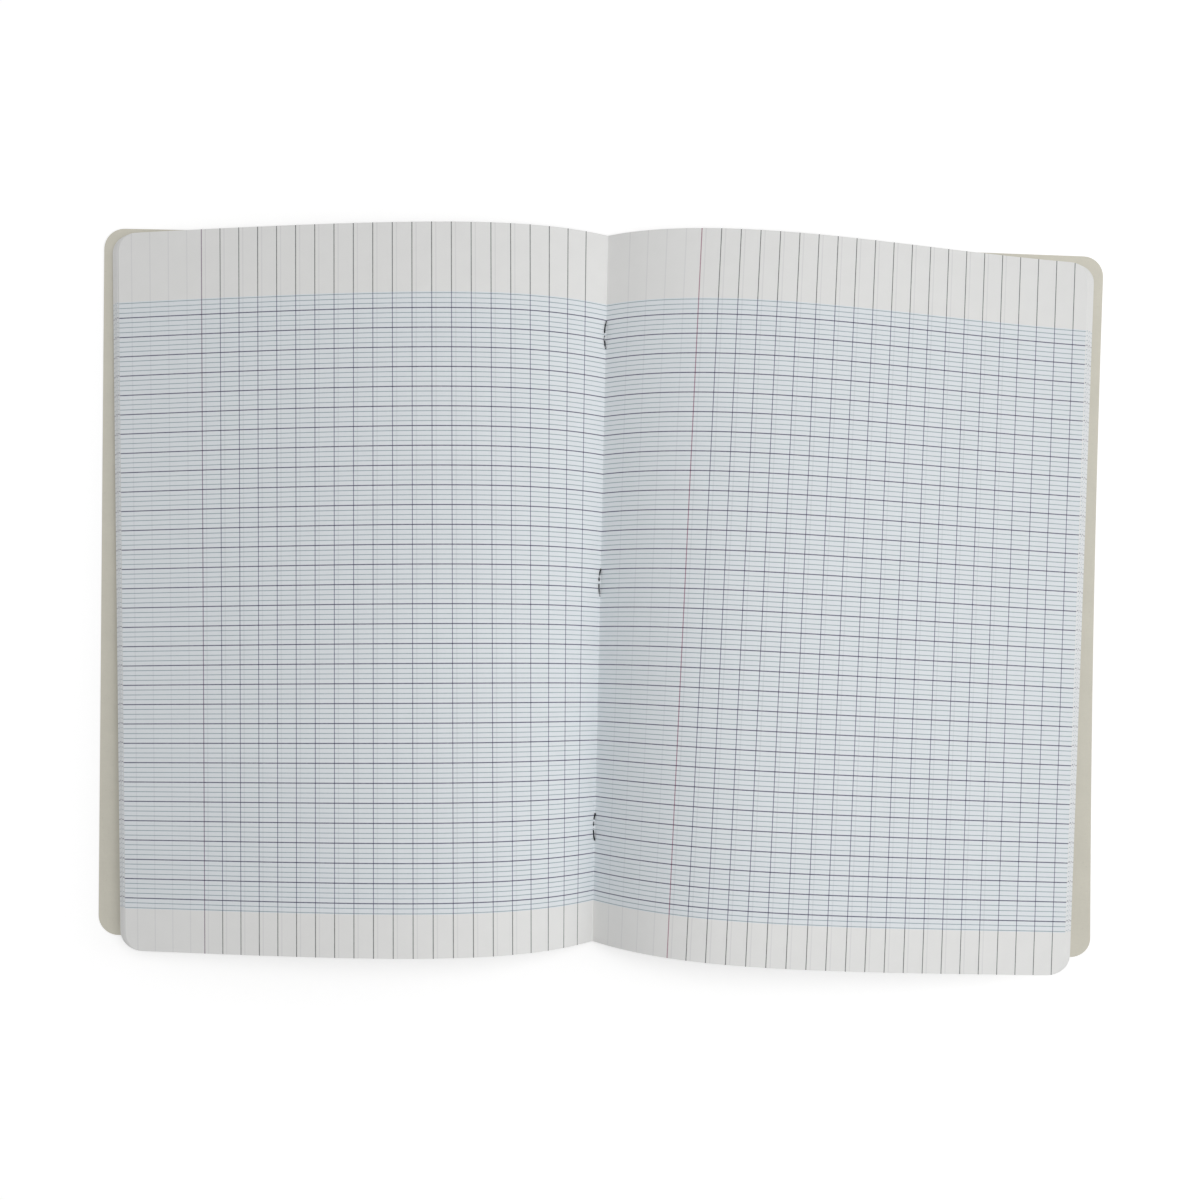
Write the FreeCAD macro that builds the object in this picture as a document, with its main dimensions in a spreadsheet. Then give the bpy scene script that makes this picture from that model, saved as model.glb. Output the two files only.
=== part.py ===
import FreeCAD, Part
import Sketcher
import math
import os

# An open stapled exercise book, lying face up on a table
# X runs across the spread, Y up the page towards its head, Z up from the table.
# The card cover lies flat, the leaves arch over it on each side of the fold, and
# the arch is taller at the tail than at the head, so the leaves lie slightly turned.

doc = FreeCAD.newDocument("exercise_book")
sheet = doc.addObject("Spreadsheet::Sheet", "sizes")

SIZES = {
    # Closed size of the book and of what it is made from, in millimetres
    "page_height": 297.0,
    "cover_width": 210.0,
    "sheet_count": 24.0,
    "sheet_thickness": 0.104,
    "card_thickness": 0.4,
    "leaf_corner_radius": 7.5,
    "cover_corner_radius": 8.5,
    # Each corner's arc ends this far outside the leaves, so that it crosses their edges
    "corner_overlap": 0.08,
    # Creased spine of the card
    "crease_lift": 0.75,
    "crease_half_width": 6.0,
    "crease_gap": 0.2,
    "seat_clearance": 0.05,
    # Lifted tail corner of the back cover
    "corner_lift": 12.0,
    # Three wire staples along the fold
    "wire_diameter": 0.55,
    "wire_clearance": 0.1,
    "staple_crown": 12.0,
    "staple_head_margin": 42.0,
    "staple_tail_margin": 48.0,
    "clinch_gap": 1.0,
    "clinch_bend": 0.45,
    "clinch_rise": 0.6,
    # Arch of the leaves, one set for each half at the head and at the tail:
    # slope at the fold in degrees, distance over which it rolls off, how sharply it does,
    # how much the fore edge eases back, and the height of the lowest leaf's edge over the card
    "head_left_slope": 26.5,
    "head_left_roll": 41.0,
    "head_left_power": 1.37,
    "head_left_ease": 4.0,
    "head_left_edge": 0.5,
    "tail_left_slope": 54.3,
    "tail_left_roll": 48.4,
    "tail_left_power": 1.5,
    "tail_left_ease": 7.5,
    "tail_left_edge": 10.0,
    "head_right_slope": 31.0,
    "head_right_roll": 46.2,
    "head_right_power": 1.1,
    "head_right_ease": 22.5,
    "head_right_edge": 0.4,
    "tail_right_slope": 53.5,
    "tail_right_roll": 53.5,
    "tail_right_power": 1.6,
    "tail_right_ease": 4.8,
    "tail_right_edge": 23.0,
    # Spare length and width that the leaves are made with, before they are trimmed
    "end_margin": 14.0,
    "side_margin": 12.0,
    # Sizes that follow from the others
    "stack": "=sheet_count * sheet_thickness",
    "fold_height": "=card_thickness + crease_lift + seat_clearance + stack",
    "wire_radius": "=wire_diameter / 2",
    "hole_corner": "=(wire_radius + wire_clearance) / cos(180 / 8)",
    "hole_depth": "=fold_height + end_margin",
    "leg_reach": "=staple_crown / 2 - wire_radius",
    "staple_head_place": "=page_height / 2 - staple_head_margin",
    "staple_tail_place": "=staple_tail_margin - page_height / 2",
    "staple_middle_place": "=(staple_head_place + staple_tail_place) / 2",
    # Set further down, once the leaves are made: it centres the whole on the origin
    "centre_shift": 0.0,
}

for row, (name, value) in enumerate(SIZES.items(), start=1):
    sheet.set("A%d" % row, name)
    sheet.set("B%d" % row, str(value))
    sheet.setAlias("B%d" % row, name)
doc.recompute()


def size(name):
    """Value of one cell of the sheet."""
    return float(sheet.get(name))


half_height = size("page_height") / 2
stack = size("stack")
# Sheets folded round each other and trimmed flush when closed: the outer leaf is wider
creep = math.pi / 2 * stack
leaf_width = size("cover_width") - creep
card_top = size("card_thickness")
fold_height = size("fold_height")
wire_radius = size("wire_radius")
end_margin = size("end_margin")
side_margin = size("side_margin")

ARCH_STEPS = 240
SPLINE_POINTS = 10
WIRE_SIDES = 8
SPINE_CHORDS = 6


class Arch:
    """Cross-section of one half of the top leaf, worked out from its slope along its width."""

    def __init__(self, end, side):
        self.sign = -1 if side == "left" else 1
        label = end + "_" + side
        self.fold_slope = math.radians(size(label + "_slope"))
        self.roll = size(label + "_roll")
        self.power = size(label + "_power")
        self.ease = math.radians(size(label + "_ease"))
        self.droop = 0.0
        self.settle(size(label + "_edge"))

    def slope(self, share):
        """Slope in radians at a share of the leaf's width: steep at the fold, falling past the crest."""
        rolled = math.exp(-((share * leaf_width / self.roll) ** self.power))
        return self.fold_slope * rolled - self.droop * share + self.ease * share ** 3

    def trace(self):
        """Points (distance out, height over the fold, slope) along the leaf, by the midpoint rule."""
        step = leaf_width / ARCH_STEPS
        out, up = 0.0, 0.0
        points = [(out, up, self.slope(0.0))]
        for count in range(ARCH_STEPS):
            middle = self.slope((count + 0.5) / ARCH_STEPS)
            out += step * math.cos(middle)
            up += step * math.sin(middle)
            points.append((out, up, self.slope((count + 1) / ARCH_STEPS)))
        return points

    def settle(self, edge_height):
        """Find the droop that brings the lowest leaf's edge to its height over the card."""
        for _ in range(12):
            self.points = self.trace()
            tip = fold_height + self.under(ARCH_STEPS)[1] - card_top
            self.droop += (tip - edge_height) * 2 / leaf_width

    def top(self, station):
        """Point of the top leaf at one station of the trace, to the left or right of the fold."""
        out, up, _ = self.points[station]
        return self.sign * out, up

    def under(self, station):
        """Point of the lowest leaf: one stack below the top leaf, and wider than it at the edge."""
        out, up, slope = self.points[station]
        reach = creep * (station / ARCH_STEPS) ** 4
        out += stack * math.sin(slope) + reach * math.cos(slope)
        up += -stack * math.cos(slope) + reach * math.sin(slope)
        return self.sign * out, up


arches = {(end, side): Arch(end, side) for end in ("head", "tail") for side in ("left", "right")}


def blend(side, station, y, pick):
    """Point between the head's and the tail's arch, on the straight line that joins them."""
    share = (half_height - y) / size("page_height")
    head = pick(arches["head", side], station)
    tail = pick(arches["tail", side], station)
    out = head[0] + share * (tail[0] - head[0])
    up = head[1] + share * (tail[1] - head[1])
    return FreeCAD.Vector(out, y, fold_height + up)


def turn_back(side, station):
    """How far the leaf has slid towards the tail, because its arch takes more width there."""
    slid = 0.0
    for count in range(station):
        head_out = arches["head", side].points[count][0]
        tail_out = arches["tail", side].points[count][0]
        slid += (head_out - tail_out) / size("page_height") * leaf_width / ARCH_STEPS
    return slid


def spline(points):
    """Smooth edge through the points."""
    curve = Part.BSplineCurve()
    curve.interpolate(points)
    return curve.toShape()


def stations():
    """Stations of the trace that carry a spline point, from the fold to the fore edge."""
    return [round(count * ARCH_STEPS / SPLINE_POINTS) for count in range(SPLINE_POINTS + 1)]


def folded_spine(first, last):
    """Edges round the outermost sheet's fold, as short chords of a circle about the innermost fold."""
    centre = FreeCAD.Vector(0, first.y, fold_height)
    from_angle = math.atan2(first.z - centre.z, first.x)
    to_angle = math.atan2(last.z - centre.z, last.x)
    points = [first]
    for count in range(1, SPINE_CHORDS):
        angle = from_angle + (to_angle - from_angle) * count / SPINE_CHORDS
        points.append(centre + FreeCAD.Vector(math.cos(angle), 0, math.sin(angle)) * stack)
    points.append(last)
    return [Part.LineSegment(a, b).toShape() for a, b in zip(points, points[1:])]


def leaf_section(y):
    """Closed outline of all the leaves in the plane at y."""
    top_left = [blend("left", n, y, Arch.top) for n in reversed(stations())]
    top_right = [blend("right", n, y, Arch.top) for n in stations()]
    under_right = [blend("right", n, y, Arch.under) for n in reversed(stations())]
    under_left = [blend("left", n, y, Arch.under) for n in stations()]
    spine_round = folded_spine(under_right[-1], under_left[0])
    edges = [
        spline(top_left),
        spline(top_right),
        Part.LineSegment(top_right[-1], under_right[0]).toShape(),
        spline(under_right),
        *spine_round,
        spline(under_left),
        Part.LineSegment(under_left[-1], top_left[0]).toShape(),
    ]
    return Part.Wire(edges)


def end_curve(y):
    """Head or tail edge of the leaves seen from above, from one fore edge to the other."""
    points = []
    for side, order in (("left", reversed(stations()[1:])), ("right", stations())):
        for station in order:
            place = blend(side, station, y, Arch.top)
            points.append(FreeCAD.Vector(place.x, y - turn_back(side, station), 0))
    first, last = points[0], points[-1]
    outer_left = first + (first - points[1]).normalize() * 2 * side_margin
    outer_right = last + (last - points[-2]).normalize() * 2 * side_margin
    return [outer_left] + points + [outer_right]


def trim_prism():
    """Upright block whose head and tail walls trim the leaves to their page height."""
    head = end_curve(half_height)
    tail = list(reversed(end_curve(-half_height)))
    edges = [
        spline(head),
        Part.LineSegment(head[-1], tail[0]).toShape(),
        spline(tail),
        Part.LineSegment(tail[-1], head[0]).toShape(),
    ]
    low = -end_margin
    crest = max(point[1] for arch in arches.values() for point in arch.points)
    tall = fold_height + crest * 1.5 + 2 * end_margin
    face = Part.Face(Part.Wire(edges))
    face.translate(FreeCAD.Vector(0, 0, low))
    return face.extrude(FreeCAD.Vector(0, 0, tall))


def corner_cutter(end, side):
    """Piece outside one rounded leaf corner, leaning out with the fan of leaf edges."""
    y = half_height if end == "head" else -half_height
    towards = 1 if end == "head" else -1
    corner = blend(side, ARCH_STEPS, y, Arch.top)
    corner.y -= turn_back(side, ARCH_STEPS)
    before = blend(side, ARCH_STEPS - 1, y, Arch.top)
    before.y -= turn_back(side, ARCH_STEPS - 1)
    outward = (corner - before).normalize()
    edge_line = blend(side, ARCH_STEPS, half_height, Arch.top)
    edge_line -= blend(side, ARCH_STEPS, -half_height, Arch.top)
    along = edge_line.normalize() * towards
    under = blend(side, ARCH_STEPS, y, Arch.under)
    fan = under - blend(side, ARCH_STEPS, y, Arch.top)
    radius = size("leaf_corner_radius")
    centre = corner - (outward + along) * (radius - size("corner_overlap"))
    on_end = centre + along * radius
    on_edge = centre + outward * radius
    middle = centre + (outward + along).normalize() * radius
    reach = side_margin
    beyond = corner + along * reach + outward * reach
    points = [on_end, on_end + along * reach, beyond, on_edge + outward * reach, on_edge]
    edges = [Part.LineSegment(a, b).toShape() for a, b in zip(points, points[1:])]
    edges.append(Part.Arc(on_edge, middle, on_end).toShape())
    face = Part.Face(Part.Wire(edges))
    face.translate(fan * -0.75)
    return face.extrude(fan * 2.5)


def feature(name, shape):
    """Document object that holds a shape made here."""
    item = doc.addObject("Part::Feature", name)
    item.Shape = shape
    return item


# Leaves: a slab lofted between two cross-sections, trimmed at head and tail,
# with its corners rounded and the staple holes pierced along the fold
leaf_slab = feature("leaf_slab", Part.makeLoft(
    [leaf_section(half_height + end_margin), leaf_section(-half_height - end_margin)], True, True))
leaf_trim = feature("leaf_trim", trim_prism())

cutters = []
for end in ("head", "tail"):
    for side in ("left", "right"):
        cutters.append(feature("corner_%s_%s" % (end, side), corner_cutter(end, side)))

STAPLES = ("staple_head", "staple_middle", "staple_tail")
piercings = []
for name in STAPLES:
    for leg, sign in (("tail", "-"), ("head", "+")):
        hole = doc.addObject("Part::Prism", "%s_hole_%s" % (name, leg))
        hole.Polygon = WIRE_SIDES
        hole.Placement.Rotation = FreeCAD.Rotation(FreeCAD.Vector(0, 0, 1), 180 / WIRE_SIDES)
        hole.setExpression("Circumradius", "sizes.hole_corner")
        hole.setExpression("Height", "sizes.hole_depth")
        hole.setExpression("Placement.Base.y", "sizes.%s_place %s sizes.leg_reach" % (name, sign))
        piercings.append(hole)

cut_away = doc.addObject("Part::MultiFuse", "leaf_cut_away")
cut_away.Shapes = cutters + piercings
trimmed = doc.addObject("Part::Common", "trimmed_leaves")
trimmed.Base = leaf_slab
trimmed.Tool = leaf_trim
page_block = doc.addObject("Part::Cut", "page_block")
page_block.Base = trimmed
page_block.Tool = cut_away


def sketch_on(body, plane, name):
    """New sketch on one of the body's own origin planes."""
    sketch = body.newObject("Sketcher::SketchObject", name)
    origin_plane = [item for item in body.Origin.OriginFeatures if item.Role == plane][0]
    sketch.AttachmentSupport = [(origin_plane, "")]
    sketch.MapMode = "FlatFace"
    return sketch


def tie(sketch, expressions):
    """Tie dimensions of a sketch to the sheet, by their names."""
    for name, expression in expressions.items():
        sketch.setExpression("Constraints." + name, expression)


def measure(sketch, kind, name, *places):
    """Add one named dimension to a sketch."""
    index = sketch.addConstraint(Sketcher.Constraint(kind, *places))
    sketch.renameConstraint(index, name)


# Front cover: a flat card with its two outer corners rounded
front_cover = doc.addObject("PartDesign::Body", "front_cover")
card_outline = sketch_on(front_cover, "XY_Plane", "front_card_outline")
near = -size("crease_half_width") - size("crease_gap")
far = -size("cover_width")
corners = [
    FreeCAD.Vector(near, -half_height, 0),
    FreeCAD.Vector(near, half_height, 0),
    FreeCAD.Vector(far, half_height, 0),
    FreeCAD.Vector(far, -half_height, 0),
]
for start, finish in zip(corners, corners[1:] + corners[:1]):
    card_outline.addGeometry(Part.LineSegment(start, finish))
for line in range(4):
    card_outline.addConstraint(Sketcher.Constraint("Coincident", line, 2, (line + 1) % 4, 1))
card_outline.addConstraint(Sketcher.Constraint("Vertical", 0))
card_outline.addConstraint(Sketcher.Constraint("Vertical", 2))
card_outline.addConstraint(Sketcher.Constraint("Horizontal", 1))
card_outline.addConstraint(Sketcher.Constraint("Horizontal", 3))
measure(card_outline, "DistanceX", "crease_side", 1, 1, -1, 1, -near)
measure(card_outline, "DistanceX", "fore_edge_side", 2, 1, -1, 1, -far)
measure(card_outline, "DistanceY", "head_side", -1, 1, 1, 1, half_height)
measure(card_outline, "DistanceY", "full_height", 0, 1, 0, 2, 2 * half_height)
tie(card_outline, {
    "crease_side": "sizes.crease_half_width + sizes.crease_gap",
    "fore_edge_side": "sizes.cover_width",
    "head_side": "sizes.page_height / 2",
    "full_height": "sizes.page_height",
})
card_pad = front_cover.newObject("PartDesign::Pad", "front_card")
card_pad.Profile = card_outline
card_pad.setExpression("Length", "sizes.card_thickness")
doc.recompute()
outer_edges = []
for number, edge in enumerate(card_pad.Shape.Edges, start=1):
    low, high = edge.BoundBox.ZMin, edge.BoundBox.ZMax
    if high - low > card_top / 2 and edge.BoundBox.XMax < far / 2:
        outer_edges.append("Edge%d" % number)
card_rounding = front_cover.newObject("PartDesign::Fillet", "front_card_corners")
card_rounding.Base = (card_pad, outer_edges)
card_rounding.setExpression("Radius", "sizes.cover_corner_radius")
front_cover.Tip = card_rounding


# Creased spine: the card's shallow crown between the two covers, pierced by the staples
spine_card = doc.addObject("PartDesign::Body", "spine_card")
crown_outline = sketch_on(spine_card, "XZ_Plane", "spine_outline")
crown_reach = size("crease_half_width")
crown = [
    FreeCAD.Vector(-crown_reach, 0, 0),
    FreeCAD.Vector(0, size("crease_lift"), 0),
    FreeCAD.Vector(crown_reach, 0, 0),
]
raised = [point + FreeCAD.Vector(0, card_top, 0) for point in crown]
under_arc = crown_outline.addGeometry(Part.Arc(*crown))
upper_arc = crown_outline.addGeometry(Part.Arc(*raised))
left_wall = crown_outline.addGeometry(Part.LineSegment(crown[0], raised[0]))
right_wall = crown_outline.addGeometry(Part.LineSegment(crown[2], raised[2]))
for wall, side in ((left_wall, -1), (right_wall, 1)):
    for arc, wall_end in ((under_arc, 1), (upper_arc, 2)):
        arc_end = 1 if crown_outline.getPoint(arc, 1).x * side > 0 else 2
        crown_outline.addConstraint(Sketcher.Constraint("Coincident", wall, wall_end, arc, arc_end))
    crown_outline.addConstraint(Sketcher.Constraint("Vertical", wall))
    crown_outline.addConstraint(Sketcher.Constraint("PointOnObject", wall, 1, -1))
for arc in (under_arc, upper_arc):
    crown_outline.addConstraint(Sketcher.Constraint("PointOnObject", arc, 3, -2))
crown_outline.addConstraint(Sketcher.Constraint("Equal", under_arc, upper_arc))
crown_radius = (crown_reach ** 2 + size("crease_lift") ** 2) / 2 / size("crease_lift")
measure(crown_outline, "Radius", "crown_radius", under_arc, crown_radius)
measure(crown_outline, "DistanceX", "crown_side", upper_arc, 3, right_wall, 1, crown_reach)
measure(crown_outline, "DistanceY", "card", right_wall, 1, right_wall, 2, card_top)
tie(crown_outline, {
    "crown_radius": "(sizes.crease_half_width ^ 2 + sizes.crease_lift ^ 2) / (2 * sizes.crease_lift)",
    "crown_side": "sizes.crease_half_width",
    "card": "sizes.card_thickness",
})
crown_pad = spine_card.newObject("PartDesign::Pad", "spine_crown")
crown_pad.Profile = crown_outline
crown_pad.Midplane = True
crown_pad.setExpression("Length", "sizes.page_height")
cover_spine = doc.addObject("Part::Cut", "cover_spine")
cover_spine.Base = spine_card
cover_spine.Tool = doc.addObject("Part::MultiFuse", "spine_holes")
cover_spine.Tool.Shapes = piercings


def curled_card():
    """Back cover: a bicubic patch with one raised pole, thickened, its two outer corners rounded."""
    near = size("crease_half_width") + size("crease_gap")
    far = size("cover_width")
    surface = Part.BezierSurface()
    surface.increase(3, 3)
    for across in range(4):
        for down in range(4):
            raised = size("corner_lift") if across == 3 and down == 3 else 0.0
            x = near + (far - near) * across / 3
            y = half_height - size("page_height") * down / 3
            surface.setPole(across + 1, down + 1, FreeCAD.Vector(x, y, raised))
    card = surface.toShape().extrude(FreeCAD.Vector(0, 0, card_top))
    margin = card_top
    corner = FreeCAD.Vector(near, -half_height, -margin)
    outline = Part.makeBox(far - near, 2 * half_height, size("corner_lift") + card_top + 2 * margin, corner)
    upright = []
    for edge in outline.Edges:
        if edge.BoundBox.XMin > far - margin and edge.BoundBox.YLength < margin:
            upright.append(edge)
    rounded = outline.makeFillet(size("cover_corner_radius"), upright)
    return card.common(rounded).Solids[0]


back_cover = feature("back_cover", curled_card())


def staple_path(middle):
    """Centre line of one staple: crown under the spine, two legs, and both ends clinched along the fold."""
    low = size("crease_lift") - size("seat_clearance") - wire_radius
    high = fold_height + size("clinch_rise")
    reach = size("leg_reach")
    inner = size("clinch_gap") / 2
    bend = size("clinch_bend")
    point = FreeCAD.Vector
    half = []
    for way in (-1, 1):
        leg = middle + way * reach
        in_low = point(0, leg - way * bend, low)
        up_low = point(0, leg, low + bend)
        up_high = point(0, leg, high - bend)
        in_high = point(0, leg - way * bend, high)
        bow = bend * (1 - math.sqrt(0.5))
        low_turn = Part.Arc(in_low, point(0, leg - way * bow, low + bow), up_low).toShape()
        high_turn = Part.Arc(up_high, point(0, leg - way * bow, high - bow), in_high).toShape()
        upright = Part.LineSegment(up_low, up_high).toShape()
        clinch = Part.LineSegment(in_high, point(0, middle + way * inner, high)).toShape()
        half.append([low_turn, upright, high_turn, clinch])
    tail_side, head_side = half
    crown_end = reach - bend
    crown = Part.LineSegment(point(0, middle - crown_end, low), point(0, middle + crown_end, low))
    return Part.Wire(list(reversed(tail_side)) + [crown.toShape()] + head_side)


def staple(middle):
    """Wire swept along a staple's centre line, with an eight-sided section that keeps it light."""
    path = staple_path(middle)
    clinch_height = fold_height + size("clinch_rise")
    free_end = FreeCAD.Vector(0, middle - size("clinch_gap") / 2, clinch_height)
    rim = []
    for corner in range(WIRE_SIDES + 1):
        turn = math.pi * (2 * corner + 1) / WIRE_SIDES
        rim.append(free_end + FreeCAD.Vector(math.cos(turn), 0, math.sin(turn)) * wire_radius)
    return path.makePipeShell([Part.makePolygon(rim)], True, False)


staples = []
for name in STAPLES:
    staples.append(feature(name, staple(size(name + "_place"))))

doc.recompute()
sub_parts = [page_block, cover_spine, front_cover, back_cover] + staples

# The leaves hang over the covers' tail edge: the whole is moved so that its middle is over the origin
boxes = [item.Shape.optimalBoundingBox(False, False) for item in sub_parts]
low_end = min(box.YMin for box in boxes)
high_end = max(box.YMax for box in boxes)
shift_cell = "B%d" % (list(SIZES).index("centre_shift") + 1)
sheet.set(shift_cell, str(round(-(low_end + high_end) / 2, 3)))
for item in sub_parts:
    item.setExpression("Placement.Base.y", "sizes.centre_shift")
doc.recompute()

for item in doc.Objects:
    if "Invalid" in item.State or "Error" in item.State:
        raise RuntimeError("%s did not compute" % item.Name)
os.makedirs("parts", exist_ok=True)
for item in sub_parts:
    if item.Shape.isNull() or not item.Shape.isValid():
        raise RuntimeError("%s has no valid shape" % item.Label)
    item.Shape.exportStep(os.path.join("parts", item.Label + ".step"))
    box = item.Shape.optimalBoundingBox(False, False)
    print("%s: %d solid, %.1f mm3, x %.1f to %.1f, y %.1f to %.1f, z %.2f to %.2f" % (
        item.Label, len(item.Shape.Solids), item.Shape.Volume,
        box.XMin, box.XMax, box.YMin, box.YMax, box.ZMin, box.ZMax))
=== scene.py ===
"""Stapled exercise book lying open in the middle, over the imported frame.

The leaves arch up from the fold and come down beyond it on a flat card cover. Sizes are in
millimetres until a mesh is made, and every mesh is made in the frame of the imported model.
"""

import enum
import logging
import math
from dataclasses import dataclass

import bpy
import numpy as np
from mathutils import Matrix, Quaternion, Vector

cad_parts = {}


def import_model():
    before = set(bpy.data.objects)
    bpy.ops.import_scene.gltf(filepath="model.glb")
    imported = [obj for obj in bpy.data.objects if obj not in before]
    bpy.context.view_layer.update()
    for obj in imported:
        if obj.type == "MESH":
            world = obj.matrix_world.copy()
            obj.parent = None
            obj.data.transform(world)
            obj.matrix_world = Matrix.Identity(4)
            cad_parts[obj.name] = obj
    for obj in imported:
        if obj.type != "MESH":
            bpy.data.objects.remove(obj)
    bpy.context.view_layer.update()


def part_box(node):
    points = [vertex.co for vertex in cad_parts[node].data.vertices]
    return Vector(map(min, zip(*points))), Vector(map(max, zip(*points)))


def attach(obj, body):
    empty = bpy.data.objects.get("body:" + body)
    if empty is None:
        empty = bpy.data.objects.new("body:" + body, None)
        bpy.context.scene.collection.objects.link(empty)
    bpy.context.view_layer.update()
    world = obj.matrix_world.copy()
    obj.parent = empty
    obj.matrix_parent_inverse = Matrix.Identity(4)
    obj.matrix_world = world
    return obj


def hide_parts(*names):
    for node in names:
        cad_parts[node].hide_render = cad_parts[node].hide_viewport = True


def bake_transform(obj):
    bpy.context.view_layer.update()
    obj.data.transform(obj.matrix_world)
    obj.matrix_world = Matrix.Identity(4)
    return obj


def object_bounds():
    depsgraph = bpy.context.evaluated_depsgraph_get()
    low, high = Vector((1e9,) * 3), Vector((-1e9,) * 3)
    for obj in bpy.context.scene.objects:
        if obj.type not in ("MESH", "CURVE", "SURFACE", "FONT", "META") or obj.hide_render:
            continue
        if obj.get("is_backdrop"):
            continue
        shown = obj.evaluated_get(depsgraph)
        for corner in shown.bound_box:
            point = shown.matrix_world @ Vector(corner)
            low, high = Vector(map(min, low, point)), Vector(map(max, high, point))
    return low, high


LOG = logging.getLogger("book")
METRES = 0.001
MILLIMETRES = 1000.0
UPPER, UNDER, RIM = 0, 1, 2


class Side(enum.Enum):
    """The two halves of the open book, by the sign of x."""

    LEFT = -1
    RIGHT = 1


class End(enum.Enum):
    """The two ends of the fold."""

    HEAD = "head"
    TAIL = "tail"


class Slot(enum.Enum):
    """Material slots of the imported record."""

    PAPER = "leaf_paper"
    CARD = "cover_card"
    WIRE = "staple_wire"


@dataclass(frozen=True)
class BookSize:
    """Sizes that the leaves, the cover and the staples share, in millimetres.

    Attributes:
        sheet: thickness of one sheet.
        card: thickness of the cover.
        crease_lift: height of the spine strip's underside at its middle.
        crease_half: half the width of the spine strip.
        seat: gap between the leaves and the spine strip, and between it and the wire.
        shift: how far the book's middle lies from the frame's origin, towards the head.
    """

    height: float = 297.0
    cover_width: float = 210.0
    sheets: int = 24
    sheet: float = 0.104
    card: float = 0.4
    crease_lift: float = 0.75
    crease_half: float = 6.0
    seat: float = 0.05
    leaf_corner: float = 7.5
    cover_corner: float = 8.5
    shift: float = 2.72

    @property
    def stack(self) -> float:
        """Thickness of all the leaves of one half."""
        return self.sheets * self.sheet

    @property
    def creep(self) -> float:
        """How far the lowest leaf reaches beyond the top one."""
        return math.pi / 2 * self.stack

    @property
    def leaf_width(self) -> float:
        """Width of the top leaf from the fold."""
        return self.cover_width - self.creep

    @property
    def fold_height(self) -> float:
        """Height of the top of the leaves at the fold."""
        return self.card + self.crease_lift + self.seat + self.stack


BOOK = BookSize()


@dataclass(frozen=True)
class Arch:
    """How the leaves of one half rise from the fold at one end of the book.

    Attributes:
        fold: slope at the fold, in degrees.
        roll: length over which that slope dies away.
        power: how suddenly it dies away.
        ease: slope regained at the fore edge, in degrees.
        edge: height of the lowest leaf's tip above the card.
        steps: number of steps from the fold to the tip.
        rounds: number of times the droop is corrected.
    """

    fold: float
    roll: float
    power: float
    ease: float
    edge: float
    steps: int = 240
    rounds: int = 14

    def slope(self, share: np.ndarray, droop: float) -> np.ndarray:
        """Slope at a share of the leaf's width: a bell that dies away, a steady droop and a late rise."""
        bell = math.radians(self.fold) * np.exp(-((share * BOOK.leaf_width / self.roll) ** self.power))
        return bell - droop * share + math.radians(self.ease) * share**3

    def trace(self) -> np.ndarray:
        """Follows the top leaf from the fold by the midpoint rule, with the droop that seats its tip.

        Returns:
            Distance along the leaf, x, height over the fold, and slope: four rows, a column a step.
        """
        step = BOOK.leaf_width / self.steps
        middle = (np.arange(self.steps) + 0.5) / self.steps
        droop = 0.0
        for _ in range(self.rounds):
            slope = self.slope(middle, droop)
            x = np.concatenate([[0.0], np.cumsum(step * np.cos(slope))])
            z = np.concatenate([[0.0], np.cumsum(step * np.sin(slope))])
            last = float(self.slope(np.ones(1), droop)[0])
            tip = z[-1] - BOOK.stack * math.cos(last) + BOOK.creep * math.sin(last)
            droop += (BOOK.fold_height + tip - BOOK.card - self.edge) * 2 / BOOK.leaf_width
        share = np.arange(self.steps + 1) / self.steps
        return np.stack([share * BOOK.leaf_width, x, z, self.slope(share, droop)])


ARCHES = {
    (Side.LEFT, End.HEAD): Arch(fold=26.5, roll=41.0, power=1.37, ease=4.0, edge=0.5),
    (Side.LEFT, End.TAIL): Arch(fold=54.3, roll=48.4, power=1.5, ease=7.5, edge=10.0),
    (Side.RIGHT, End.HEAD): Arch(fold=31.0, roll=46.2, power=1.1, ease=22.5, edge=0.4),
    (Side.RIGHT, End.TAIL): Arch(fold=53.5, roll=53.5, power=1.6, ease=4.8, edge=23.0),
}


def grid_faces(rows: int, columns: int, start: int = 0) -> np.ndarray:
    """Quads of a grid whose vertices count along its columns first, wound anticlockwise.

    Args:
        rows: number of rows of points.
        columns: number of points in a row.
        start: index of the first point.

    Returns:
        One row of four indices a quad.
    """
    index = start + np.arange(rows * columns).reshape(rows, columns)
    corners = (index[:-1, :-1], index[1:, :-1], index[1:, 1:], index[:-1, 1:])
    return np.stack([corner.ravel() for corner in corners], axis=-1)


def rim_faces(rows: int, columns: int, lower: int) -> np.ndarray:
    """Quads that close the four sides between a grid and a second one under it.

    Args:
        rows: number of rows of points in each grid.
        columns: number of points in a row.
        lower: how much further on the second grid's points are.

    Returns:
        One row of four indices a quad.
    """
    index = np.arange(rows * columns).reshape(rows, columns)
    ring = np.concatenate([index[:-1, 0], index[-1, :-1], index[:0:-1, -1], index[0, :0:-1]])
    after = np.roll(ring, -1)
    return np.stack([ring, ring + lower, after + lower, after], axis=-1)


def stations(near: float, width: float, corner: float, counts: tuple[int, int, int]) -> np.ndarray:
    """Distances from the fold: even steps up to `near` and on to the corner, sine steps round it.

    Args:
        near: length beside the fold that has the closest stations.
        width: the last distance.
        corner: radius of the rounded corner.
        counts: numbers of stations in the three stretches.

    Returns:
        The distances, from 0 to the width.
    """
    first = np.linspace(0.0, near, counts[0])
    flat = np.linspace(near, width - corner, counts[1])
    turn = np.sin(np.linspace(0.0, math.pi / 2, counts[2])) * corner
    return np.concatenate([first, flat[1:], width - corner + turn[1:]])


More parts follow.
